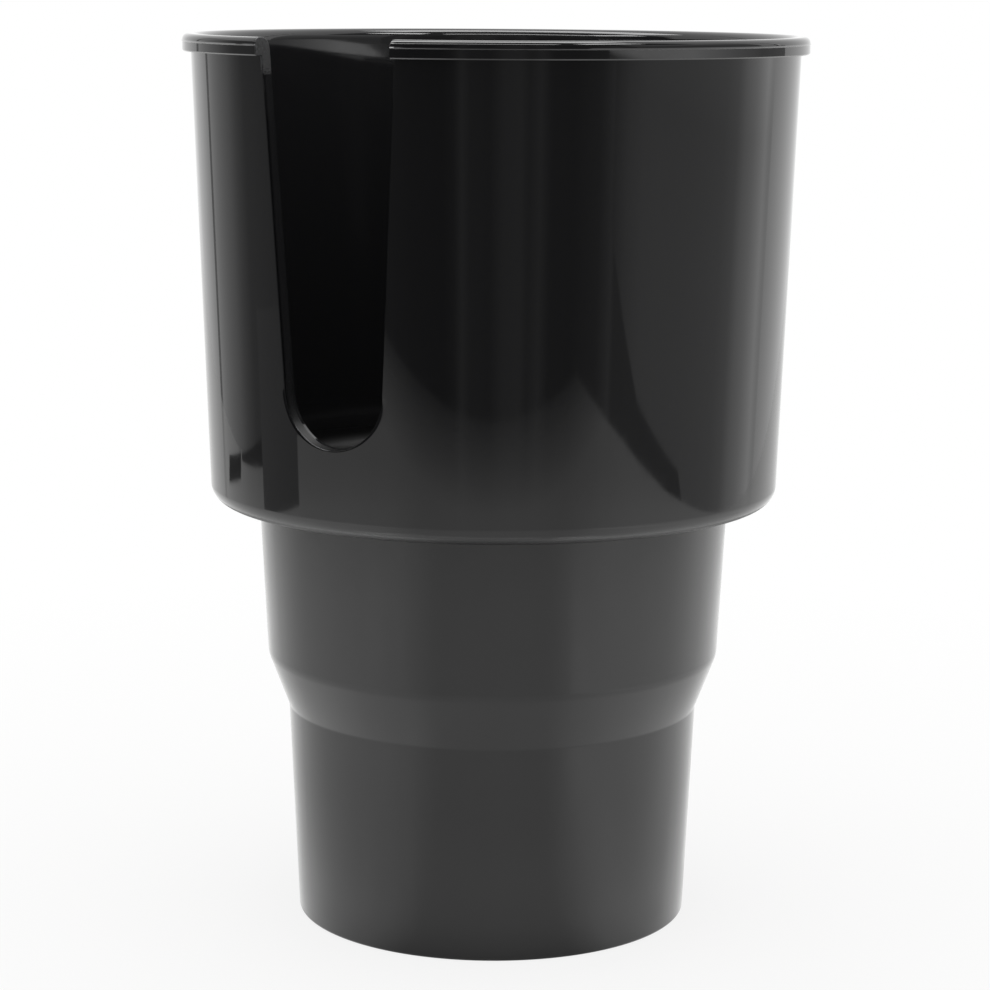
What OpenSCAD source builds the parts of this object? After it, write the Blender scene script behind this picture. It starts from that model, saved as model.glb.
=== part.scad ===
// Cup holder expander: a wide mug cup on a stepped base that drops into a vehicle's cup holder.
// The origin is the centre of the foot's underside, +Z is up and the handle slot faces -Y.

/* [Rim] */
// Diameter across the rim's flat band
rim_d = 109.7; // [102:0.1:125]
// Height of the rim, from its underside to its top
rim_h = 3; // [2.4:0.1:6]
// How far the rim stands out from the wall under it
rim_overhang = 1.5; // [0.8:0.1:3]
// Radius of the rim's upper outer edge
rim_outer_r = 1.1; // [0.4:0.1:1.7]
// Radius of the rim's upper inner edge
rim_inner_r = 2; // [0.4:0.1:2.2]
// Bevel on the rim's lower outer edge
rim_bevel = 0.2; // [0.1:0.1:0.6]
// How far the moulding line stands out around the top of the flat band
flash_h = 0.15; // [0.05:0.05:0.3]

/* [Mug cup] */
// Height of the cup, from its underside to the rim's top
cup_h = 82; // [76:0.5:120]
// Draft of the cup's wall, in degrees
cup_draft = 2.1; // [0.5:0.1:3]
// Thickness of the cup's wall at the rim, measured level
cup_wall = 2.3; // [1.8:0.1:3.5]
// How much more the well's wall leans than the cup's outside, in degrees
well_lean = 0.5; // [0:0.1:2]
// Thickness of the cup's floor
cup_floor = 2.5; // [1.8:0.1:4]
// Radius of the cup's lower outer edge
cup_edge_r = 3.1; // [0.5:0.1:5]
// Radius between the wall and the floor inside
cup_inner_r = 3; // [0.5:0.1:8]

/* [Handle slot] */
// Depth of the slot, from the rim's top to its round end
slot_depth = 67.2; // [30:0.1:70]
// Radius of the slot's round end
slot_end_r = 9.7; // [6:0.1:14]
// How far each side of the slot leans outwards, in degrees
slot_draft = 3.4; // [0.5:0.1:6]

/* [Stepped base] */
// Diameter of the foot at its underside
foot_d = 70.2; // [62:0.2:74]
// Height of the foot, up to the shoulder's lower edge
foot_h = 38.1; // [20:0.1:60]
// Draft of the foot's wall, in degrees
foot_draft = 2.6; // [0.5:0.1:3.5]
// How far the shoulder widens the base
shoulder_step = 3.7; // [2:0.1:5]
// Height of the sloping shoulder
shoulder_h = 9.6; // [6:0.1:16]
// Height of the collar, from the shoulder to the cup's underside
collar_h = 28; // [12:0.1:50]
// Draft of the collar's wall, in degrees
collar_draft = 2.9; // [0.5:0.1:3.5]
// Radius of the shoulder's upper edge
shoulder_edge_r = 5; // [1:0.1:8]
// Radius of the hollow edge under the shoulder
shoulder_root_r = 1.5; // [0.5:0.1:6]
// Radius around the foot's underside
foot_edge_r = 0.5; // [0.2:0.1:2]
// Thickness of the base's wall, measured level
base_wall = 2.5; // [1.8:0.1:3.5]
// Thickness of the base's floor
base_floor = 2.5; // [1.8:0.1:4]
// Radius between the wall and the floor inside the foot
base_inner_r = 2; // [0.5:0.1:6]

/* [Locating ring] */
// How far the ring under the cup reaches down into the base
ring_h = 5; // [2:0.5:10]
// Thickness of the ring
ring_wall = 2; // [1.2:0.1:3]
// Clearance between the ring and the base's mouth
ring_clearance = 0.15; // [0.05:0.05:0.4]

/* [Hidden] */
$fn = 180;
cut_margin = 1;
rim_r = rim_d / 2;
foot_r = foot_d / 2;
shoulder_low_r = foot_r + foot_h * tan(foot_draft);
shoulder_top_r = shoulder_low_r + shoulder_step;
shoulder_top_z = foot_h + shoulder_h;
base_top_r = shoulder_top_r + collar_h * tan(collar_draft);
mouth_r = base_top_r - base_wall;
ring_r = mouth_r - ring_h * tan(collar_draft) - ring_clearance;
cup_z = shoulder_top_z + collar_h;
rim_top_z = cup_z + cup_h;
rim_low_z = rim_top_z - rim_h;
slot_end_z = rim_top_z - slot_depth + slot_end_r;

// Outer radius of the cup's wall at a height
function cup_r(z) = rim_r - rim_overhang - (rim_low_z - z) * tan(cup_draft);

// Radius of the well inside the cup at a height
function well_r(z) = cup_r(rim_top_z) - cup_wall - (rim_top_z - z) * tan(cup_draft + well_lean);

function unit(v) = v / norm(v);
function turn(u, v) = u[0] * v[1] - u[1] * v[0];

// Outline through corners [x, z, radius], listed anticlockwise, with each edge rounded by its radius
module rounded_outline(corners) {
    count = len(corners);
    spots = [for (c = corners) [c[0], c[1]]];
    back = [for (i = [0:count - 1]) unit(spots[(i + count - 1) % count] - spots[i])];
    ahead = [for (i = [0:count - 1]) unit(spots[(i + 1) % count] - spots[i])];
    half = [for (i = [0:count - 1]) acos(back[i] * ahead[i]) / 2];
    round_at = [for (i = [0:count - 1]) if (corners[i][2] > 0) i];
    function start(i) = spots[i] + back[i] * corners[i][2] / tan(half[i]);
    function end(i) = spots[i] + ahead[i] * corners[i][2] / tan(half[i]);
    // The corner's circle, kept only near the corner, a little past where it touches the two sides
    module round_part(i) {
        reach = 1.2 * corners[i][2] / tan(half[i]);
        intersection() {
            translate(spots[i] + unit(back[i] + ahead[i]) * corners[i][2] / sin(half[i])) circle(corners[i][2]);
            polygon([
                spots[i] + back[i] * reach,
                spots[i] - unit(back[i] + ahead[i]) * corners[i][2],
                spots[i] + ahead[i] * reach
            ]);
        }
    }
    difference() {
        union() {
            polygon([for (i = [0:count - 1]) each corners[i][2] == 0 ? [spots[i]] : [start(i), end(i)]]);
            for (i = round_at) if (turn(ahead[i], back[i]) > 0) round_part(i);
        }
        for (i = round_at) if (turn(ahead[i], back[i]) < 0) round_part(i);
    }
}

// Half section of the cup with its rim, floor and hollow
module cup_section() {
    floor_z = cup_z + cup_floor;
    flash_z = rim_top_z - rim_outer_r - flash_h;
    rounded_outline([
        [0, cup_z, 0],
        [cup_r(cup_z), cup_z, cup_edge_r],
        [cup_r(rim_low_z), rim_low_z, 0],
        [rim_r - rim_bevel, rim_low_z, 0],
        [rim_r, rim_low_z + rim_bevel, 0],
        [rim_r, flash_z - flash_h, 0],
        [rim_r + flash_h, flash_z, 0],
        [rim_r, flash_z + flash_h, 0],
        [rim_r, rim_top_z, rim_outer_r],
        [well_r(rim_top_z), rim_top_z, rim_inner_r],
        [well_r(floor_z), floor_z, cup_inner_r],
        [0, floor_z, 0]
    ]);
}

// Tool that cuts the handle slot: a round end, and sides that lean outwards up to the rim
module slot_cutter() {
    rise = slot_depth - slot_end_r + cut_margin;
    top_x = slot_end_r + rise * tan(slot_draft);
    translate([0, 0, slot_end_z]) rotate([90, 0, 0]) {
        cylinder(h = rim_r + cut_margin, r = slot_end_r);
        linear_extrude(rim_r + cut_margin)
            polygon([[-slot_end_r, 0], [slot_end_r, 0], [top_x, rise], [-top_x, rise]]);
    }
}

// Upper moulding: the cup with its rim, its handle slot and the ring that locates it in the base
module mug_cup() {
    color([0.035, 0.035, 0.038]) difference() {
        rotate_extrude() {
            cup_section();
            translate([ring_r - ring_wall, cup_z - ring_h]) square([ring_wall, ring_h + cup_floor / 2]);
        }
        slot_cutter();
    }
}

// Lower moulding: foot, shoulder and collar in one, hollow from above and closed underneath
module stepped_base() {
    color([0.05, 0.05, 0.053]) rotate_extrude() rounded_outline([
        [0, 0, 0],
        [foot_r, 0, foot_edge_r],
        [shoulder_low_r, foot_h, shoulder_root_r],
        [shoulder_top_r, shoulder_top_z, shoulder_edge_r],
        [base_top_r, cup_z, 0],
        [mouth_r, cup_z, 0],
        [shoulder_top_r - base_wall, shoulder_top_z, shoulder_edge_r],
        [shoulder_low_r - base_wall, foot_h, shoulder_root_r],
        [foot_r + base_floor * tan(foot_draft) - base_wall, base_floor, base_inner_r],
        [0, base_floor, 0]
    ]);
}

mug_cup();
stepped_base();
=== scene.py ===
import math

import bmesh
import bpy
from mathutils import Matrix, Vector


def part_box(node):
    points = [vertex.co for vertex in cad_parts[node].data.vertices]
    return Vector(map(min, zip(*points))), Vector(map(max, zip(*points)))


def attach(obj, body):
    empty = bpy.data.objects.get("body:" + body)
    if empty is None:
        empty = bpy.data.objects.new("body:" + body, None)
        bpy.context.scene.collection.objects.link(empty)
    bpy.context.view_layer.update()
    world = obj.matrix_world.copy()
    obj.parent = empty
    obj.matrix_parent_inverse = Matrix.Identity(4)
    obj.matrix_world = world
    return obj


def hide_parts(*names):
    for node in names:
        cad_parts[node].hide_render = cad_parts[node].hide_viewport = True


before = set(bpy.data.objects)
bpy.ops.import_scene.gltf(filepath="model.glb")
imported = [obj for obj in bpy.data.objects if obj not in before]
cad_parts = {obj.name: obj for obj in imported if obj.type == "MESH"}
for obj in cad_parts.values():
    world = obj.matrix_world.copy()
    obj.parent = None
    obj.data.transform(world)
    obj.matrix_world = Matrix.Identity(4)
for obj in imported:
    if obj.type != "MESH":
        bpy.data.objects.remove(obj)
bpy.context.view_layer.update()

mm = 0.001


# Camera: a long lens half a metre away, just above the rim's height and looking slightly down. It stands to
# the right of the handle slot, so the slot is seen on the left, and leans by a third of a degree.
camera_turn = math.radians(31.75)
camera_reach = 525.09 * mm
camera_height = 167.87 * mm
camera_pitch = math.radians(9.957)
camera_lean = math.radians(0.369)
camera_aim_aside = 0.28 * mm
sensor_width = 36
lens_length = 107.68

# Turns from the camera's own frame, with the camera on -Y, to the object's frame
to_camera_side = Matrix.Rotation(camera_turn, 4, "Z")
camera_spot = to_camera_side @ Vector((0, -camera_reach, camera_height))
aim = to_camera_side @ Vector((camera_aim_aside, 0, camera_height - camera_reach * math.tan(camera_pitch)))
camera_data = bpy.data.cameras.new("camera")
camera_data.sensor_width = sensor_width
camera_data.lens = lens_length
camera = bpy.data.objects.new("camera", camera_data)
bpy.context.scene.collection.objects.link(camera)
camera.rotation_mode = "QUATERNION"
camera.location = camera_spot
camera.rotation_quaternion = (
    (aim - camera_spot).to_track_quat("-Z", "Y") @ Matrix.Rotation(camera_lean, 3, "Z").to_quaternion()
)
bpy.context.scene.camera = camera
bpy.context.scene.view_settings.view_transform = "Standard"


# Table: a polished white acrylic sheet that the object stands on. The camera sees it as plain white with
# the object's soft shadow, and the gloss of the mouldings shows its shine, a painted glow of lamp light and of
# the object's shadow on it, and where it ends.
table_front = -480 * mm
table_fade = -360 * mm
table_back = 2500 * mm
table_left_side = [
    (-430 * mm, table_front), (-476 * mm, -300 * mm), (-476 * mm, -100 * mm), (-450 * mm, 60 * mm),
    (-430 * mm, 150 * mm), (-430 * mm, table_back),
]
table_right_side = [
    (374 * mm, table_back), (374 * mm, -100 * mm), (368 * mm, -190 * mm), (348 * mm, -305 * mm),
    (315 * mm, -400 * mm), (280 * mm, table_front),
]
front_clearness = 0.85
acrylic_white = "#F4F4F3"


def linear(hex_colour):
    """An sRGB hex colour as linear red, green, blue and alpha."""
    parts = [int(hex_colour[i:i + 2], 16) / 255 for i in (1, 3, 5)]
    return [c / 12.92 if c <= 0.04045 else ((c + 0.055) / 1.055) ** 2.4 for c in parts] + [1]


def add_node(tree, kind, settings=None, links=None):
    """Adds a node, sets its properties and sockets, and links outputs into its sockets."""
    node = tree.nodes.new(kind)
    for name, value in (settings or {}).items():
        if isinstance(name, int) or name in node.inputs:
            node.inputs[name].default_value = value
        else:
            setattr(node, name, value)
    for name, output in (links or {}).items():
        tree.links.new(output, node.inputs[name])
    return node


def new_material(name):
    """A material without nodes, and its node tree."""
    material = bpy.data.materials.new(name)
    material.use_nodes = True
    material.node_tree.nodes.clear()
    return material, material.node_tree


def new_piece(name, shape, material):
    """Makes an object at the origin from a bmesh."""
    mesh = bpy.data.meshes.new(name)
    shape.to_mesh(mesh)
    shape.free()
    mesh.materials.append(material)
    piece = bpy.data.objects.new(name, mesh)
    bpy.context.scene.collection.objects.link(piece)
    return piece


def board(corners):
    """A flat board from its corners in the camera's frame, turned into the object's frame."""
    shape = bmesh.new()
    shape.faces.new([shape.verts.new(corner) for corner in corners])
    bmesh.ops.transform(shape, matrix=to_camera_side, verts=shape.verts)
    return shape


def in_camera_frame(tree):
    """Object coordinates turned into the camera's frame, as separate X, Y and Z."""
    place = add_node(tree, "ShaderNodeTexCoord")
    turned_place = add_node(tree, "ShaderNodeVectorRotate", {
        "rotation_type": "Z_AXIS", "Angle": -camera_turn,
    }, {"Vector": place.outputs["Object"]})
    return add_node(tree, "ShaderNodeSeparateXYZ", links={0: turned_place.outputs[0]})


def steps_of_light(tree, value, stops):
    """Light that changes evenly between stops of a value and a strength."""
    low, high = stops[0][0], stops[-1][0]
    peak = max(strength for _, strength in stops)
    share = add_node(tree, "ShaderNodeMapRange", {"From Min": low, "From Max": high}, {"Value": value})
    ramp = add_node(tree, "ShaderNodeValToRGB", links={"Fac": share.outputs[0]})
    marks = ramp.color_ramp.elements
    while len(marks) < len(stops):
        marks.new(1)
    for mark, (stop, strength) in zip(marks, stops):
        mark.position = (stop - low) / (high - low)
        mark.color = [strength / peak] * 3 + [1]
    scaled = add_node(tree, "ShaderNodeMath", {"operation": "MULTIPLY", 1: peak}, {0: ramp.outputs[0]})
    return scaled.outputs[0]


def bearing_of(tree, across, along):
    """The bearing in degrees, from the camera's side and growing with the first value."""
    ahead = add_node(tree, "ShaderNodeMath", {"operation": "MULTIPLY", 1: -1}, {0: along})
    bearing = add_node(tree, "ShaderNodeMath", {"operation": "ARCTAN2"}, {0: across, 1: ahead.outputs[0]})
    return add_node(tree, "ShaderNodeMath", {"operation": "DEGREES"}, {0: bearing.outputs[0]}).outputs[0]


acrylic, tree = new_material("white_acrylic")
path = add_node(tree, "ShaderNodeLightPath")
place = in_camera_frame(tree)
flat_place = add_node(tree, "ShaderNodeTexCoord")
reach = add_node(tree, "ShaderNodeVectorMath", {"operation": "LENGTH"}, {0: flat_place.outputs["Object"]})

# The camera sees the sheet grow from the object's soft shadow into the white all round
matt = add_node(tree, "ShaderNodeBsdfDiffuse", {"Color": linear(acrylic_white)})
plain = add_node(tree, "ShaderNodeEmission", {"Color": linear("#FFFFFF"), "Strength": 1})
white_share = steps_of_light(tree, reach.outputs["Value"], [(0.04, 0.82), (0.12, 0.88), (0.3, 1)])
seen = add_node(tree, "ShaderNodeMixShader", links={0: white_share, 1: matt.outputs[0], 2: plain.outputs[0]})

# The gloss sees a sheet with a painted glow: painted light, brightest on both sides, with a painted shadow of
# the object in front and at its foot; the sheet ends at its front edge
shiny = add_node(tree, "ShaderNodeBsdfPrincipled", {
    "Base Color": linear(acrylic_white), "Roughness": 0.06, "IOR": 1.6,
})
aside = add_node(tree, "ShaderNodeMath", {"operation": "ABSOLUTE"}, {0: place.outputs["X"]})
painted_side_share = steps_of_light(tree, bearing_of(tree, aside.outputs[0], place.outputs["Y"]), [
    (26, 0), (40, 0.7), (56, 1), (80, 0.9), (110, 0.4),
])
painted_near_light = steps_of_light(tree, reach.outputs["Value"], [
    (0.036, 0.15), (0.05, 0.3), (0.07, 0.3), (0.1, 0.19), (0.25, 0.2), (0.37, 0.12), (0.43, 0),
])
painted_side_light = steps_of_light(tree, reach.outputs["Value"], [
    (0.036, 0.55), (0.07, 0.3), (0.15, 0.36), (0.25, 0.4), (0.4, 0.18),
])
painted_glow_strength = add_node(tree, "ShaderNodeMath", {"operation": "MULTIPLY_ADD"}, {
    0: painted_side_share, 1: painted_side_light, 2: painted_near_light,
})
# Painted light: an emission on the sheet stands in for the lamps' light and the object's shadow on it
painted_table_glow = add_node(tree, "ShaderNodeEmission", {"Color": linear("#FFFFFF")}, {"Strength": painted_glow_strength.outputs[0]})
sheet_with_painted_glow = add_node(tree, "ShaderNodeAddShader", links={0: shiny.outputs[0], 1: painted_table_glow.outputs[0]})
shade = add_node(tree, "ShaderNodeMapRange", {
    "From Min": table_front, "From Max": table_fade, "To Min": front_clearness, "To Max": 0,
}, {"Value": place.outputs["Y"]})
gone = add_node(tree, "ShaderNodeBsdfTransparent")
fading = add_node(tree, "ShaderNodeMixShader", links={
    0: shade.outputs[0], 1: sheet_with_painted_glow.outputs[0], 2: gone.outputs[0],
})
whole = add_node(tree, "ShaderNodeMixShader", links={
    0: path.outputs["Is Camera Ray"], 1: fading.outputs[0], 2: seen.outputs[0],
})
add_node(tree, "ShaderNodeOutputMaterial", links={"Surface": whole.outputs[0]})
table = new_piece("table", board([(x, y, 0) for x, y in table_left_side + table_right_side]), acrylic)


# Studio: white all round, with a lamp overhead. Screens that only the gloss sees stand beyond the table: a
# dark room behind the camera, a soft box on the right, and a white curtain and a grey card on the left.
# Bearings are in degrees from the camera's side, and grow to the right.
room_reach = 1000 * mm
room_start = -84
room_end = 50
right_wall_end = 108
room_half_width = 1200 * mm
room_top = 1000 * mm
wall_foot = -600 * mm
dark_ground_height = -300 * mm
curtain_start = -155
curtain_top = 600 * mm
soft_box_aside = 450 * mm
soft_box_front = -490 * mm
soft_box_back = 290 * mm
soft_box_seam = 140 * mm
soft_box_top = 188.5 * mm
stand_reach = 800 * mm
stand_low = -400 * mm
stand_top = 900 * mm
key_box_height = 900 * mm
lamp_height = 990 * mm
lamp_left = -570 * mm
lamp_right = 280 * mm
card_aside = -370 * mm
card_front = -75 * mm
card_back = 57 * mm
card_top = 60 * mm
on_table = 0.5 * mm


def screen(name, shape, light):
    """A screen that only reflections see. Its light is a strength, or a function that adds nodes for it."""
    glow, tree = new_material(name + "_glow")
    if callable(light):
        emission = add_node(tree, "ShaderNodeEmission", links={"Strength": light(tree)})
    else:
        emission = add_node(tree, "ShaderNodeEmission", {"Strength": light})
    add_node(tree, "ShaderNodeOutputMaterial", links={"Surface": emission.outputs[0]})
    piece = new_piece(name, shape, glow)
    piece.visible_camera = piece.visible_diffuse = piece.visible_shadow = False
    return piece


def light_by_height(stops):
    """Light by height on a screen."""
    return lambda tree: steps_of_light(tree, in_camera_frame(tree).outputs["Z"], stops)


def light_by_bearing(stops, height_stops=None):
    """Light by the bearing in degrees, and where stops by height are given, times those."""
    def make_light(tree):
        place = in_camera_frame(tree)
        light = steps_of_light(tree, bearing_of(tree, place.outputs["X"], place.outputs["Y"]), stops)
        if height_stops:
            by_height = steps_of_light(tree, place.outputs["Z"], height_stops)
            both = add_node(tree, "ShaderNodeMath", {"operation": "MULTIPLY"}, {0: light, 1: by_height})
            light = both.outputs[0]
        return light
    return make_light


def upright(start, end, low, high):
    """An upright board between two points on the floor plan."""
    return board([(*start, low), (*end, low), (*end, high), (*start, high)])


def on_bearing(bearing, reach):
    """The place on the floor plan at a bearing and a reach from the axis."""
    turn = math.radians(bearing)
    return reach * math.sin(turn), -reach * math.cos(turn)


def round_wall(start, end, low, high, steps):
    """Part of a round wall about the axis, between two bearings."""
    wall = bmesh.new()
    edge = [wall.verts.new((*on_bearing(start, room_reach), height)) for height in (low, high)]
    wall.edges.new(edge)
    bmesh.ops.spin(
        wall, geom=wall.verts[:] + wall.edges[:], cent=(0, 0, 0), axis=(0, 0, 1),
        angle=math.radians(end - start), steps=steps,
    )
    bmesh.ops.transform(wall, matrix=to_camera_side, verts=wall.verts)
    return wall


def level_board(left, right, front, back, height):
    """A level board between its sides, in the camera's frame."""
    corners = (left, front), (right, front), (right, back), (left, back)
    return board([(*corner, height) for corner in corners])


screen("dark_room", round_wall(room_start, room_end, wall_foot, room_top, 72), light_by_bearing([
    (-84, 0.03), (-60, 0.04), (-48, 0.06), (-40, 0.10), (-30, 0.07), (-19, 0.06), (-15, 0.09), (-12, 0.20),
    (-9, 0.13), (-2, 0.11), (3, 0.20), (9, 0.22), (12, 0.15), (16, 0.22), (20, 0.11), (28, 0.10), (38, 0.16),
    (41, 0.24), (43.5, 0.33), (44.5, 0.23), (110, 0.24),
]))
screen("right_wall", round_wall(room_end, right_wall_end, wall_foot, room_top, 24), light_by_height([
    (0.15, 0.24), (0.25, 0.35), (0.6, 0.5), (1, 1),
]))
screen("dark_ground", level_board(
    -room_half_width, room_half_width, -room_half_width, room_half_width, dark_ground_height,
), 0.22)
screen("dark_ceiling", level_board(
    -room_half_width, room_half_width, -room_half_width, 0, room_top,
), 0.18)
screen("curtain", round_wall(curtain_start, room_start, wall_foot, curtain_top, 48), light_by_bearing([
    (-155, 1.05), (-144, 1.02), (-136, 0.9), (-128, 0.72), (-117, 0.54), (-112, 0.38), (-106, 0.25),
    (-84, 0.24),
]))

# The soft box on the right, in two parts. Its lower front corner is cut off, and its back is the brightest
screen("soft_box", board([(soft_box_aside, y, z) for y, z in (
    (soft_box_back, -60 * mm), (-80 * mm, -30 * mm), (-130 * mm, -9 * mm), (-320 * mm, -6 * mm),
    (-405 * mm, 11 * mm), (soft_box_front, 33 * mm), (soft_box_front, soft_box_seam),
    (soft_box_back, soft_box_seam),
)]), light_by_bearing([
    (43, 0.28), (48, 0.44), (54, 0.54), (60, 0.56), (90, 0.55), (97, 0.62), (102, 0.85), (108, 0.98),
    (117, 1.3), (121, 1.0), (130, 1.0),
], [(0.06, 1), (0.1, 0.95), (0.14, 1.25)]))
screen("soft_box_top", board([(soft_box_aside, y, z) for y, z in (
    (-560 * mm, soft_box_seam), (soft_box_back, soft_box_seam), (soft_box_back, 185 * mm),
    (0, soft_box_top), (-560 * mm, soft_box_top),
)]), light_by_bearing([(38, 1.6), (70, 1.65), (80, 1.2), (90, 0.8), (105, 0.4), (125, 0.33)]))

# A pale wall high on the left
screen("left_glow", round_wall(room_start, -44, 190 * mm, 450 * mm, 24), 0.9)

# Light stands, as thin strips
for name, start, end, light in (
    ("stand_edge", 117.9, 119.6, 0.02), ("stand", 119.6, 121.4, 1.9), ("stand_shade", 121.4, 122.2, 0.8),
    ("left_stand", -135.6, -133.4, 0.35),
):
    ends = [on_bearing(bearing, stand_reach) for bearing in (start, end)]
    screen(name, upright(*ends, stand_low, stand_top), light)

# Lamps overhead, which draw the light lines on the rim
for name, start, end, near, far, light in (
    ("key_box_right", 44, 80, 380 * mm, 540 * mm, 10), ("key_box_left", -82, -52, 550 * mm, 740 * mm, 9),
):
    screen(name, board([
        (*on_bearing(bearing, reach), key_box_height)
        for bearing, reach in ((start, near), (start, far), (end, far), (end, near))
    ]), light)
for name, front, back, light in (
    ("front_lamp", -530 * mm, -420 * mm, 8), ("overhead_box", 50 * mm, 400 * mm, 7),
):
    screen(name, level_board(lamp_left, lamp_right, front, back, lamp_height), light)
screen("grey_card", upright(
    (card_aside, card_front), (card_aside, card_back), 0, card_top,
), 0.29)

# A dark strip and a dark block that lie on the left end of the sheet
screen("dark_strip", board([(x * mm, y * mm, on_table) for x, y in (
    (-483, 74), (-433, 71), (-415, 194), (-426, 198),
)]), 0.12)
screen("dark_block", board([(x * mm, y * mm, on_table) for x, y in (
    (-426, 204), (-386, 188), (-342, 260), (-382, 284),
)]), 0.1)

world_light = 0.75
world_light_in_gloss = 1.12
world = bpy.data.worlds.new("studio")
bpy.context.scene.world = world
world.use_nodes = True
world.node_tree.nodes.clear()
path = add_node(world.node_tree, "ShaderNodeLightPath")
looked_at = add_node(world.node_tree, "ShaderNodeMath", {"operation": "MAXIMUM"}, {
    0: path.outputs["Is Camera Ray"], 1: path.outputs["Is Transmission Ray"],
})
strength = add_node(world.node_tree, "ShaderNodeMapRange", {"To Min": world_light, "To Max": 1}, {
    "Value": looked_at.outputs[0],
})
strength = add_node(world.node_tree, "ShaderNodeMath", {
    "operation": "MULTIPLY_ADD", 1: world_light_in_gloss - world_light,
}, {0: path.outputs["Is Glossy Ray"], 2: strength.outputs[0]})
sky = add_node(world.node_tree, "ShaderNodeBackground", {"Color": linear("#FFFFFF")}, {
    "Strength": strength.outputs[0],
})
add_node(world.node_tree, "ShaderNodeOutputWorld", links={"Surface": sky.outputs[0]})

overhead_size = 1000 * mm
overhead_height = 1200 * mm
overhead_power = 3.8
overhead_data = bpy.data.lights.new("overhead_lamp", "AREA")
overhead_data.shape = "RECTANGLE"
overhead_data.size = overhead_data.size_y = overhead_size
overhead_data.energy = overhead_power
overhead = bpy.data.objects.new("overhead_lamp", overhead_data)
overhead.location = (0, 0, overhead_height)
overhead.visible_camera = False
overhead.visible_glossy = False
bpy.context.scene.collection.objects.link(overhead)


# Mug cup: the upper moulding, injection moulded in black ABS against a mirror-polished cavity. The handle
# slot is open at the rim, and a ring under the floor locates the cup in the base's mouth.
cup_low, cup_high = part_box("mug_cup")
base_low, base_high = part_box("stepped_base")
flash_height = 0.15 * mm
rim_reach = cup_high.x - flash_height
rim_top = cup_high.z
rim_height = 3 * mm
rim_overhang = 1.5 * mm
rim_outer_round = 1.1 * mm
rim_inner_round = 2 * mm
rim_bevel = 0.2 * mm
cup_bottom = base_high.z
cup_draft = math.radians(2.1)
cup_wall = 2.3 * mm
well_draft = math.radians(2.6)
cup_floor = 2.5 * mm
cup_edge_round = 3.1 * mm
cup_inner_round = 3 * mm
ring_wall = 2 * mm
ring_clearance = 0.15 * mm
slot_depth = 67.2 * mm
slot_end_round = 9.7 * mm
slot_draft = math.radians(3.4)
slot_edge_round = 0.15 * mm
base_wall = 2.5 * mm
collar_draft = math.radians(2.9)

# How finely the mesh is divided, and how near its points have to be to count as one or as on the slot
turn_steps = 360
arc_step = math.radians(6)
merge_reach = 0.005 * mm
slot_tolerance = 0.002 * mm
sharp_turn = 0.6

# The part of the wall whose rows of faces run round the slot
patch_low = 84 * mm
patch_turn = math.radians(40)
patch_levels = 12
patch_across = 26
patch_round_steps = 80


def rounded(corners):
    """Points along an outline of corners, each given as reach, height and radius, with true arcs."""
    points = []
    for before, here, after in zip(corners[-1:] + corners[:-1], corners, corners[1:] + corners[:1]):
        corner, radius = Vector(here[:2]), here[2]
        if not radius:
            points.append(corner)
            continue
        back = (Vector(before[:2]) - corner).normalized()
        ahead = (Vector(after[:2]) - corner).normalized()
        half = back.angle(ahead) / 2
        centre = corner + (back + ahead).normalized() * (radius / math.sin(half))
        start = corner + back * (radius / math.tan(half)) - centre
        sweep = math.copysign(math.pi - 2 * half, ahead.x * back.y - ahead.y * back.x)
        steps = max(2, math.ceil(abs(sweep) / arc_step))
        points += [centre + Matrix.Rotation(sweep * i / steps, 2) @ start for i in range(steps + 1)]
    return points


def spot(reach, turn, height):
    """A point by its reach from the axis, its turn from the slot's side and its height."""
    return Vector((reach * math.sin(turn), -reach * math.cos(turn), height))


def sheet(shape, rows):
    """Adds faces between rows of points that have the same count. Points that meet are merged later."""
    made = [[shape.verts.new(point) for point in row] for row in rows]
    for low, high in zip(made, made[1:]):
        for a, b, c, d in zip(low, low[1:], high[1:], high):
            shape.faces.new((a, b, c, d))


def spin_round(shape, outline):
    """Spins an outline all the way round the axis."""
    points = [shape.verts.new(spot(x, 0, z)) for x, z in outline]
    edges = [shape.edges.new(pair) for pair in zip(points, points[1:])]
    bmesh.ops.spin(
        shape, geom=points + edges, cent=(0, 0, 0), axis=(0, 0, 1), angle=math.tau, steps=turn_steps,
        use_merge=True,
    )


def joined(shape):
    """Merges points that meet and turns all faces outwards."""
    bmesh.ops.remove_doubles(shape, verts=shape.verts, dist=merge_reach)
    bmesh.ops.recalc_face_normals(shape, faces=shape.faces)
    return shape


def cup_reach(height):
    """Outer radius of the cup's wall at a height."""
    return rim_reach - rim_overhang - (rim_top - rim_height - height) * math.tan(cup_draft)


def well_reach(height):
    """Radius of the well at a height."""
    return cup_reach(rim_top) - cup_wall - (rim_top - height) * math.tan(well_draft)


inner_floor = cup_bottom + cup_floor
rim_low = rim_top - rim_height
flash_middle = rim_top - rim_outer_round - flash_height
ring_top_reach = base_high.x - base_wall
ring_reach = ring_top_reach - (cup_bottom - cup_low.z) * math.tan(collar_draft) - ring_clearance
slot_end = rim_top - slot_depth + slot_end_round

# The closed parts: the ring, the underside and the lower edge outside, and the floor inside
under = rounded([
    (0, cup_bottom, 0),
    (ring_reach - ring_wall, cup_bottom, 0),
    (ring_reach - ring_wall, cup_low.z, 0),
    (ring_reach, cup_low.z, 0),
    (ring_reach, cup_bottom, 0),
    (cup_reach(cup_bottom), cup_bottom, cup_edge_round),
    (cup_reach(patch_low), patch_low, 0),
])
well = rounded([
    (well_reach(patch_low), patch_low, 0),
    (well_reach(inner_floor), inner_floor, cup_inner_round),
    (0, inner_floor, 0),
])
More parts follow.
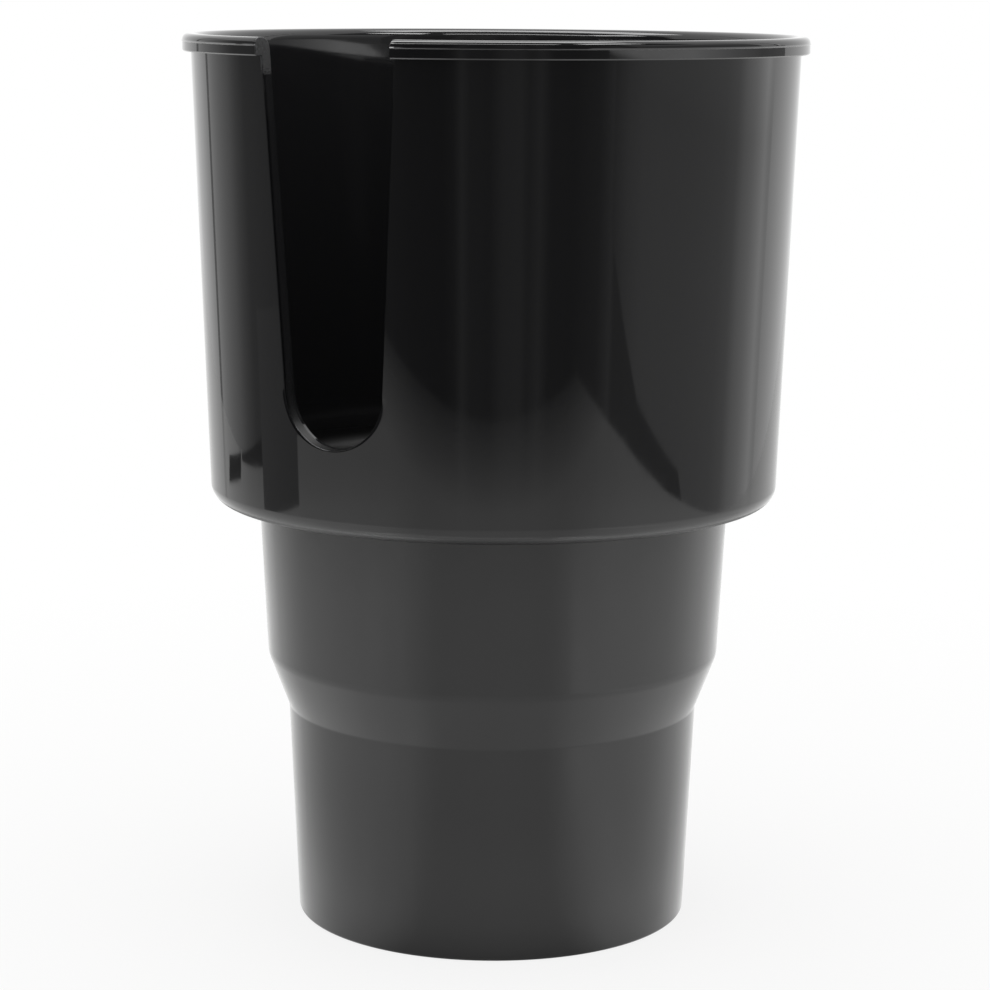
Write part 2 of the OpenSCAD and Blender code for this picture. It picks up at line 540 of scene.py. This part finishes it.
# The rim's section, from the wall's outside over the top to the well's wall
rim = rounded([
    (cup_reach(rim_low), rim_low, 0),
    (rim_reach - rim_bevel, rim_low, 0),
    (rim_reach, rim_low + rim_bevel, 0),
    (rim_reach, flash_middle - flash_height, 0),
    (rim_reach + flash_height, flash_middle, 0),
    (rim_reach, flash_middle + flash_height, 0),
    (rim_reach, rim_top, rim_outer_round),
    (well_reach(rim_top), rim_top, rim_inner_round),
    (well_reach(rim_low), rim_low, 0),
])


def slot_half(height):
    """Half the slot's width at a height, above its round end."""
    return slot_end_round + (height - slot_end) * math.tan(slot_draft)


def slot_turn(reach, height):
    """Turn from the slot's middle to its side."""
    return math.asin(slot_half(height) / reach)


def wall_patch(shape, reach_at):
    """Adds a wall up to the rim, with rows that run round the slot, and gives the slot's edge."""
    edge = []
    far = []
    for i in range(patch_levels + 1):
        share = 1 - i / patch_levels
        height = slot_end + (rim_low - slot_end) * share
        edge.append((-slot_half(height), height))
        far.append((-patch_turn, patch_low + (rim_low - patch_low) * share))
    for i in range(1, patch_round_steps):
        lean = math.pi * i / patch_round_steps
        edge.append((-slot_end_round * math.cos(lean), slot_end - slot_end_round * math.sin(lean)))
        far.append((patch_turn * (2 * i / patch_round_steps - 1), patch_low))
    for i in range(patch_levels + 1):
        share = i / patch_levels
        height = slot_end + (rim_low - slot_end) * share
        edge.append((slot_half(height), height))
        far.append((patch_turn, patch_low + (rim_low - patch_low) * share))
    near = [(math.asin(x / reach_at(z)), z) for x, z in edge]
    rows = []
    for (turn, height), (far_turn, far_height) in zip(near, far):
        row = []
        for i in range(patch_across + 1):
            share = i / patch_across
            z = height + (far_height - height) * share
            row.append(spot(reach_at(z), turn + (far_turn - turn) * share, z))
        rows.append(row)
    sheet(shape, rows)
    heights = [patch_low + (rim_low - patch_low) * i / patch_levels for i in range(patch_levels + 1)]
    sheet(shape, [[spot(reach_at(z), turn, z) for turn in turns_behind] for z in heights])
    return [row[0] for row in rows]


# Turns from one edge of the slot's patch to the other, round the back
steps_behind = turn_steps - patch_round_steps
turns_behind = [patch_turn + (math.tau - 2 * patch_turn) * i / steps_behind for i in range(steps_behind + 1)]
shape = bmesh.new()
spin_round(shape, under)
spin_round(shape, well)
outer_edge = wall_patch(shape, cup_reach)
inner_edge = wall_patch(shape, well_reach)
sheet(shape, [outer_edge, inner_edge])
rim_rows = []
for x, z in rim:
    side = slot_turn(x, z)
    front = [side + (patch_turn - side) * i / patch_across for i in range(patch_across + 1)]
    back_again = [math.tau - turn for turn in reversed(front)]
    rim_rows.append([spot(x, turn, z) for turn in front + turns_behind[1:-1] + back_again])
sheet(shape, rim_rows)
for end in (0, -1):
    shape.faces.new([shape.verts.new(row[end]) for row in rim_rows])
joined(shape)


def on_slot(point):
    """Whether a point lies on the slot's cut face."""
    if point.y > 0:
        return False
    if point.z >= slot_end:
        return abs(abs(point.x) - slot_half(point.z)) < slot_tolerance
    return abs(math.hypot(point.x, point.z - slot_end) - slot_end_round) < slot_tolerance


# The slot's edges lose their sharpness when the moulding is trimmed
trimmed = [
    edge for edge in shape.edges
    if all(on_slot(v.co) for v in edge.verts) and edge.calc_face_angle(0) > sharp_turn
]
bmesh.ops.bevel(
    shape, geom=trimmed, offset=slot_edge_round, offset_type="OFFSET", segments=3, profile=0.5,
    affect="EDGES", clamp_overlap=False, material=-1,
)
bmesh.ops.recalc_face_normals(shape, faces=shape.faces)


def soft_region(tree, limits):
    """A share that is 1 where all values are past their second limit, and falls to 0 at their first."""
    share = None
    for value, nothing, whole in limits:
        step = add_node(tree, "ShaderNodeMapRange", {"From Min": nothing, "From Max": whole}, {"Value": value})
        if share is not None:
            step = add_node(tree, "ShaderNodeMath", {"operation": "MULTIPLY"}, {0: share, 1: step.outputs[0]})
        share = step.outputs[0]
    return share


# Mirror-polished black ABS. The eye gets deep black with sharp reflections that bend very slightly with the
# moulding's sink, a well painted greyer as painted light falling in from above, and a coarse floor. The slot's
# round end is softer where it was trimmed, and the left end of the rim has a torn patch where the gate was
# cut.
polished_abs, tree = new_material("polished_black_abs")
place = add_node(tree, "ShaderNodeTexCoord").outputs["Object"]
axes = add_node(tree, "ShaderNodeSeparateXYZ", links={0: place})
level = add_node(tree, "ShaderNodeVectorMath", {"operation": "MULTIPLY", 1: (1, 1, 0)}, {0: place})
reach = add_node(tree, "ShaderNodeVectorMath", {"operation": "LENGTH"}, {0: level.outputs[0]})

# How deep a point lies under the cup's outside, from the wall's draft
outside = add_node(tree, "ShaderNodeMath", {
    "operation": "MULTIPLY_ADD", 1: math.tan(cup_draft), 2: cup_reach(0),
}, {0: axes.outputs["Z"]})
depth = add_node(tree, "ShaderNodeMath", {"operation": "SUBTRACT"}, {
    0: outside.outputs[0], 1: reach.outputs["Value"],
}).outputs[0]
inside = soft_region(tree, [(depth, 0.3 * mm, 0.9 * mm)])
on_floor = soft_region(tree, [(inside, 0, 1), (axes.outputs["Z"], 84 * mm, 80 * mm)])

# The gate's cut: the left end of the rim and the wall just under it
cut_low = rim_low - 3.2 * mm
cut_side = -slot_half(rim_top)
gate = soft_region(tree, [
    (axes.outputs["Z"], cut_low, cut_low + 1.6 * mm),
    (axes.outputs["Y"], -40 * mm, -41 * mm),
    (axes.outputs["X"], cut_side - 0.25 * mm, cut_side - 0.1 * mm),
    (axes.outputs["X"], -8 * mm, -9 * mm),
])

# The slot's cut face lies between the cup's outside and the well. Only its lower part is rough
cut_face = soft_region(tree, [
    (depth, 0.1 * mm, 0.25 * mm),
    (depth, 2.15 * mm, 1.9 * mm),
    (axes.outputs["Z"], 84 * mm, 85 * mm),
    (axes.outputs["Z"], slot_end + 10 * mm, slot_end),
])

# Scuffs and sink are as wide as on such a moulding. The torn grain is drawn coarser than real, to show
scuff_width = 2.86 * mm
grain_width = 0.417 * mm
sink_width = 22.2 * mm
scuffs = add_node(tree, "ShaderNodeTexNoise", {
    "Scale": 1 / scuff_width, "Detail": 6, "Roughness": 0.7,
}, {"Vector": place})
grain = add_node(tree, "ShaderNodeTexNoise", {
    "Scale": 1 / grain_width, "Detail": 4, "Roughness": 0.75,
}, {"Vector": place})
sink = add_node(tree, "ShaderNodeTexNoise", {"Scale": 1 / sink_width, "Detail": 1}, {"Vector": place})
polish = add_node(tree, "ShaderNodeMapRange", {
    "From Min": 0.35, "From Max": 0.7, "To Min": 0.03, "To Max": 0.055,
}, {"Value": scuffs.outputs[0]})
rough = polish.outputs[0]
for region, roughness in ((on_floor, 0.5), (cut_face, 0.3), (gate, 0.42)):
    mixed = add_node(tree, "ShaderNodeMix", {"data_type": "FLOAT", 3: roughness}, {0: region, 2: rough})
    rough = mixed.outputs[0]
# Painted light: the inner surfaces get a lighter grey than the outside, for the light that falls in from above
tone = add_node(tree, "ShaderNodeMix", {
    "data_type": "RGBA", 6: linear("#0D0D0E"), 7: linear("#1D1D1E"),
}, {0: inside})
tone = add_node(tree, "ShaderNodeMix", {"data_type": "RGBA", 7: linear("#0E0E0F")}, {
    0: on_floor, 6: tone.outputs[2],
})
streaks = add_node(tree, "ShaderNodeMapRange", {
    "From Min": 0.42, "From Max": 0.62,
}, {"Value": grain.outputs[0]})
torn = add_node(tree, "ShaderNodeMix", {
    "data_type": "RGBA", 6: linear("#0A0A0B"), 7: linear("#3C3C3E"),
}, {0: streaks.outputs[0]})
tone = add_node(tree, "ShaderNodeMix", {"data_type": "RGBA"}, {
    0: gate, 6: tone.outputs[2], 7: torn.outputs[2],
})
waves = add_node(tree, "ShaderNodeBump", {
    "Strength": 1, "Distance": 0.004 * mm,
}, {"Height": sink.outputs[0]})
tears = add_node(tree, "ShaderNodeBump", {"Distance": 0.12 * mm}, {
    "Height": grain.outputs[0], "Strength": gate, "Normal": waves.outputs[0],
})
gloss = add_node(tree, "ShaderNodeBsdfPrincipled", {"IOR": 1.53}, {
    "Base Color": tone.outputs[2], "Roughness": rough, "Normal": tears.outputs[0],
})
add_node(tree, "ShaderNodeOutputMaterial", links={"Surface": gloss.outputs[0]})
cup = new_piece("mug_cup_moulding", shape, polished_abs)


def finish_edges(piece):
    """Shades a turned piece smooth between its sharp edges."""
    piece.data.shade_smooth()
    piece.data.set_sharp_from_angle(angle=math.radians(35))
    weighted = piece.modifiers.new("even_shading", "WEIGHTED_NORMAL")
    weighted.keep_sharp = True


finish_edges(cup)
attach(cup, "root")
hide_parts("mug_cup")


# Stepped base: the lower moulding, injection moulded in the same black ABS with a slightly softer polish.
# Foot, shoulder and collar are one piece, hollow from above and closed underneath.
foot_reach = 35.1 * mm
foot_height = 38.1 * mm
foot_draft = math.radians(2.6)
shoulder_step = 3.7 * mm
shoulder_height = 9.6 * mm
shoulder_edge_round = 5 * mm
shoulder_root_round = 1.5 * mm
foot_edge_round = 0.5 * mm
base_floor = 2.5 * mm
base_inner_round = 2 * mm
shoulder_low_reach = foot_reach + foot_height * math.tan(foot_draft)
shoulder_top_reach = shoulder_low_reach + shoulder_step
shoulder_top = foot_height + shoulder_height
base_outline = rounded([
    (0, 0, 0),
    (foot_reach, 0, foot_edge_round),
    (shoulder_low_reach, foot_height, shoulder_root_round),
    (shoulder_top_reach, shoulder_top, shoulder_edge_round),
    (base_high.x, base_high.z, 0),
    (base_high.x - base_wall, base_high.z, 0),
    (shoulder_top_reach - base_wall, shoulder_top, shoulder_edge_round),
    (shoulder_low_reach - base_wall, foot_height, shoulder_root_round),
    (foot_reach + base_floor * math.tan(foot_draft) - base_wall, base_floor, base_inner_round),
    (0, base_floor, 0),
])

# Satin black ABS. The eye gets the same black with softer reflections, faintly uneven from the mould's
# spark finish. Its grit is really some 0.05 mm wide and is drawn coarser, to show.
satin_abs, tree = new_material("satin_black_abs")
place = add_node(tree, "ShaderNodeTexCoord").outputs["Object"]
cloud_width = 8.33 * mm
spark_width = 0.25 * mm
clouds = add_node(tree, "ShaderNodeTexNoise", {
    "Scale": 1 / cloud_width, "Detail": 5, "Roughness": 0.6,
}, {"Vector": place})
spark = add_node(tree, "ShaderNodeTexNoise", {"Scale": 1 / spark_width, "Detail": 2}, {"Vector": place})
sheen = add_node(tree, "ShaderNodeMapRange", {
    "From Min": 0.35, "From Max": 0.65, "To Min": 0.14, "To Max": 0.18,
}, {"Value": clouds.outputs[0]})
relief = add_node(tree, "ShaderNodeBump", {
    "Strength": 0.5, "Distance": 0.004 * mm,
}, {"Height": spark.outputs[0]})
gloss = add_node(tree, "ShaderNodeBsdfPrincipled", {"Base Color": linear("#101011"), "IOR": 1.53}, {
    "Roughness": sheen.outputs[0], "Normal": relief.outputs[0],
})
add_node(tree, "ShaderNodeOutputMaterial", links={"Surface": gloss.outputs[0]})
shape = bmesh.new()
spin_round(shape, base_outline)
base = new_piece("stepped_base_moulding", joined(shape), satin_abs)
finish_edges(base)
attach(base, "root")
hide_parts("stepped_base")
